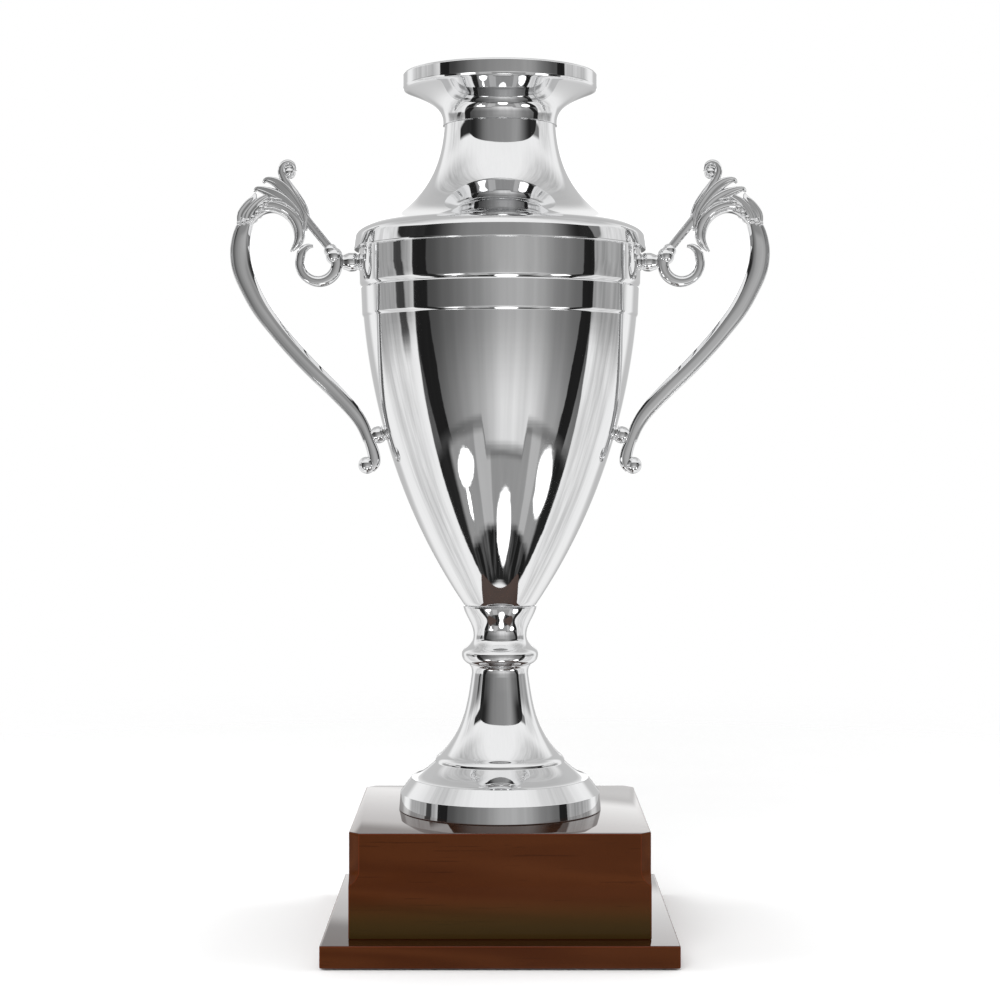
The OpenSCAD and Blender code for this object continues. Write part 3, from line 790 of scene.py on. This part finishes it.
lobe_top = (
    (117, 350.5, 2.4, 8), (118.6, 357, 4, 9), (122.2, 363.2, 5.4, 9.6), (127, 369.4, 6.6, 10),
    (132, 373.9, 6.8, 9.5), (136.8, 376.4, 5, 8.5), (140.4, 376.8, 3, 6.5), (142.1, 374.9, 1.2, 3.5),
)
bead_vein = (
    (156.4, 350.2, 2, 10.6), (153, 351, 2.2, 11.4), (149.8, 352.2, 2.2, 11.8), (146.6, 354.4, 2.2, 12.2),
    (143.8, 357.4, 2.2, 12.6), (141.8, 360.6, 2.2, 12.8), (138.8, 363.4, 2.2, 12.6), (134.6, 365, 2, 12.2),
    (130.2, 364.4, 1.2, 11.4),
)
leaf_vein = (
    (142, 361.2, 1.4, 12), (136.6, 363.4, 1.8, 12.6), (130, 362.6, 1.8, 12.6), (123.6, 358.4, 1.6, 12),
    (119.2, 352.4, 1, 10.4),
)
plume = (
    (117.4, 346.6, 3, 5), (116.4, 353.5, 5, 6.4), (117.8, 360, 5.4, 6.8), (121.8, 366.6, 5.4, 7),
    (126.2, 372.6, 5.2, 7.4), (129.4, 377.6, 5, 7.8), (131, 382, 4.4, 8), (129.9, 385.9, 3.8, 8),
    (126.7, 387.2, 3.4, 7.4), (123.6, 385.4, 2.8, 6.4), (122.8, 382.4, 1.8, 4.6),
)
upper_rod = ((117.4, 354.6, 5.2, 6), (109.5, 344.8, 5, 5.8), (101.5, 335, 5, 5.8))
rod_ridge = (
    (127.6, 377.6, 1.2, 7), (123.8, 371, 1.7, 7.8), (119, 362.6, 1.8, 7.8), (115.4, 355.6, 1.8, 7.6),
    (108.2, 346.4, 1.8, 7.2), (100.2, 336.4, 1.8, 7),
)
HOOK_X = 108.8
HOOK_Z = 327.1
HOOK_R = 11.2
HOOK_ROOT = 150
HOOK_TIP = 370
hook = []
for angle in range(HOOK_ROOT, HOOK_TIP + 1, 20):
    hook_x = HOOK_X + HOOK_R * math.cos(math.radians(angle))
    hook_z = HOOK_Z + HOOK_R * math.sin(math.radians(angle))
    hook.append((hook_x, hook_z, 7.2 - (angle - HOOK_ROOT) / 130, 7.5))
hook += [(118.6, 334, 5, 7), (115.6, 336.8, 3.4, 5), (112, 337.2, 1.4, 3)]

# Balls as (X, height, radius): a row along each face of the cuff's vein, and single ones in the
# plume's curl, where the rod and the hook meet the post, and at the strap's end
CUFF_FACE = 4.9
CUFF_SPREAD = 0.15
cuff_beads = (
    (156.2, 350.4, 1.3), (153.4, 350.9, 1.5), (150.6, 351.8, 1.6), (147.6, 353.6, 1.7), (144.9, 356.2, 1.8),
    (142.5, 359.3, 1.8), (139.8, 362.5, 1.7), (136.4, 364.6, 1.5),
)
curl_bead = (126.2, 381.2, 3.7)
CURL_STRETCH = 1.3
hook_bead = (99.4, 331.2, 5.2)
rod_bead = (101.6, 334.6, 4.2)
end_bead = (79.8, 205.8, 5.2)

cast_handle_nickel = nickel("handle_nickel", 0.00005)
for side_name, mirror in (("left", -1), ("right", 1)):
    bm = bmesh.new()
    strand(bm, strap, FLAT)
    strand(bm, beside(strap[:-3], -0.84, 1.7, 0.1), ROUND)
    strand(bm, inner_rim, ROUND)
    strand(bm, broad_leaf, FLAT)
    for leaf in (cuff_outer, cuff_inner, lobe_low, lobe_top):
        strand(bm, leaf, LEAF)
    for vein in (bead_vein, leaf_vein, rod_ridge):
        strand(bm, vein, ROUND)
    strand(bm, plume, FLAT)
    strand(bm, upper_rod, FLAT)
    strand(bm, hook, FLAT)
    bead(bm, *curl_bead, stretch=CURL_STRETCH)
    for single in (hook_bead, rod_bead, end_bead):
        bead(bm, *single)
    for face in (-1, 1):
        for i, (x, z, radius) in enumerate(cuff_beads):
            bead(bm, x, z, radius, face * (CUFF_FACE + CUFF_SPREAD * i))
    if mirror < 0:
        bmesh.ops.scale(bm, vec=(-1, 1, 1), verts=bm.verts)
    bmesh.ops.recalc_face_normals(bm, faces=bm.faces)
    handle = finished(bm, "cast_handle_" + side_name, cast_handle_nickel)
    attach(handle, "root")
    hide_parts("handle_" + side_name)


# ---------- Spacers ----------
# Small turned posts with one bead each, between the bowl's wall and the handles' lugs. A screw from
# inside the bowl passes through each.
SCREW_HOLE = 2.1
SEAT = 0.05


def post_outline(length, bead_r, wall_r, lug_r):
    """Outline of a drilled post from the bowl's wall to the handle's lug, with a bead between."""
    mid = length * 0.56
    made = [(SCREW_HOLE, SEAT), (wall_r + 0.5, SEAT), (wall_r, 0.9)]
    made += cubic((wall_r, 1.2), (bead_r, 1.4), (bead_r, mid - 1.2), (bead_r, mid), 10)
    made += cubic((bead_r, mid), (bead_r, mid + 1.4), (lug_r, length - 1.2), (lug_r, length), 10)
    return made + [(lug_r, length), (SCREW_HOLE, length)]


UPPER_POST = post_outline(9.5, 5.7, 4.5, 4.4)
LOWER_POST = post_outline(7.6, 5.2, 4.2, 4.2)
POST_EASE = 0.15
UPPER_POST_Z = 327.6
LOWER_POST_X = 69.3
LOWER_POST_Z = 225.3
LOWER_TILT = 19
for side_name, half_turn in (("left", 180), ("right", 0)):
    facing = Matrix.Rotation(math.radians(half_turn), 4, "Z")
    upper_place = Matrix.Translation((rim_r, 0, HANDLE_FOOT + UPPER_POST_Z))
    upper_axis = facing @ upper_place @ Matrix.Rotation(math.radians(90), 4, "Y")
    lower_place = Matrix.Translation((LOWER_POST_X, 0, HANDLE_FOOT + LOWER_POST_Z))
    lower_axis = facing @ lower_place @ Matrix.Rotation(math.radians(90 + LOWER_TILT), 4, "Y")
    upper = turned("upper_post_" + side_name, UPPER_POST, 0, cast_nickel, POST_EASE, upper_axis)
    lower = turned("lower_post_" + side_name, LOWER_POST, 0, cast_nickel, POST_EASE, lower_axis)
    for post, node in ((upper, "upper_spacer_"), (lower, "lower_spacer_")):
        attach(post, "root")
        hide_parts(node + side_name)
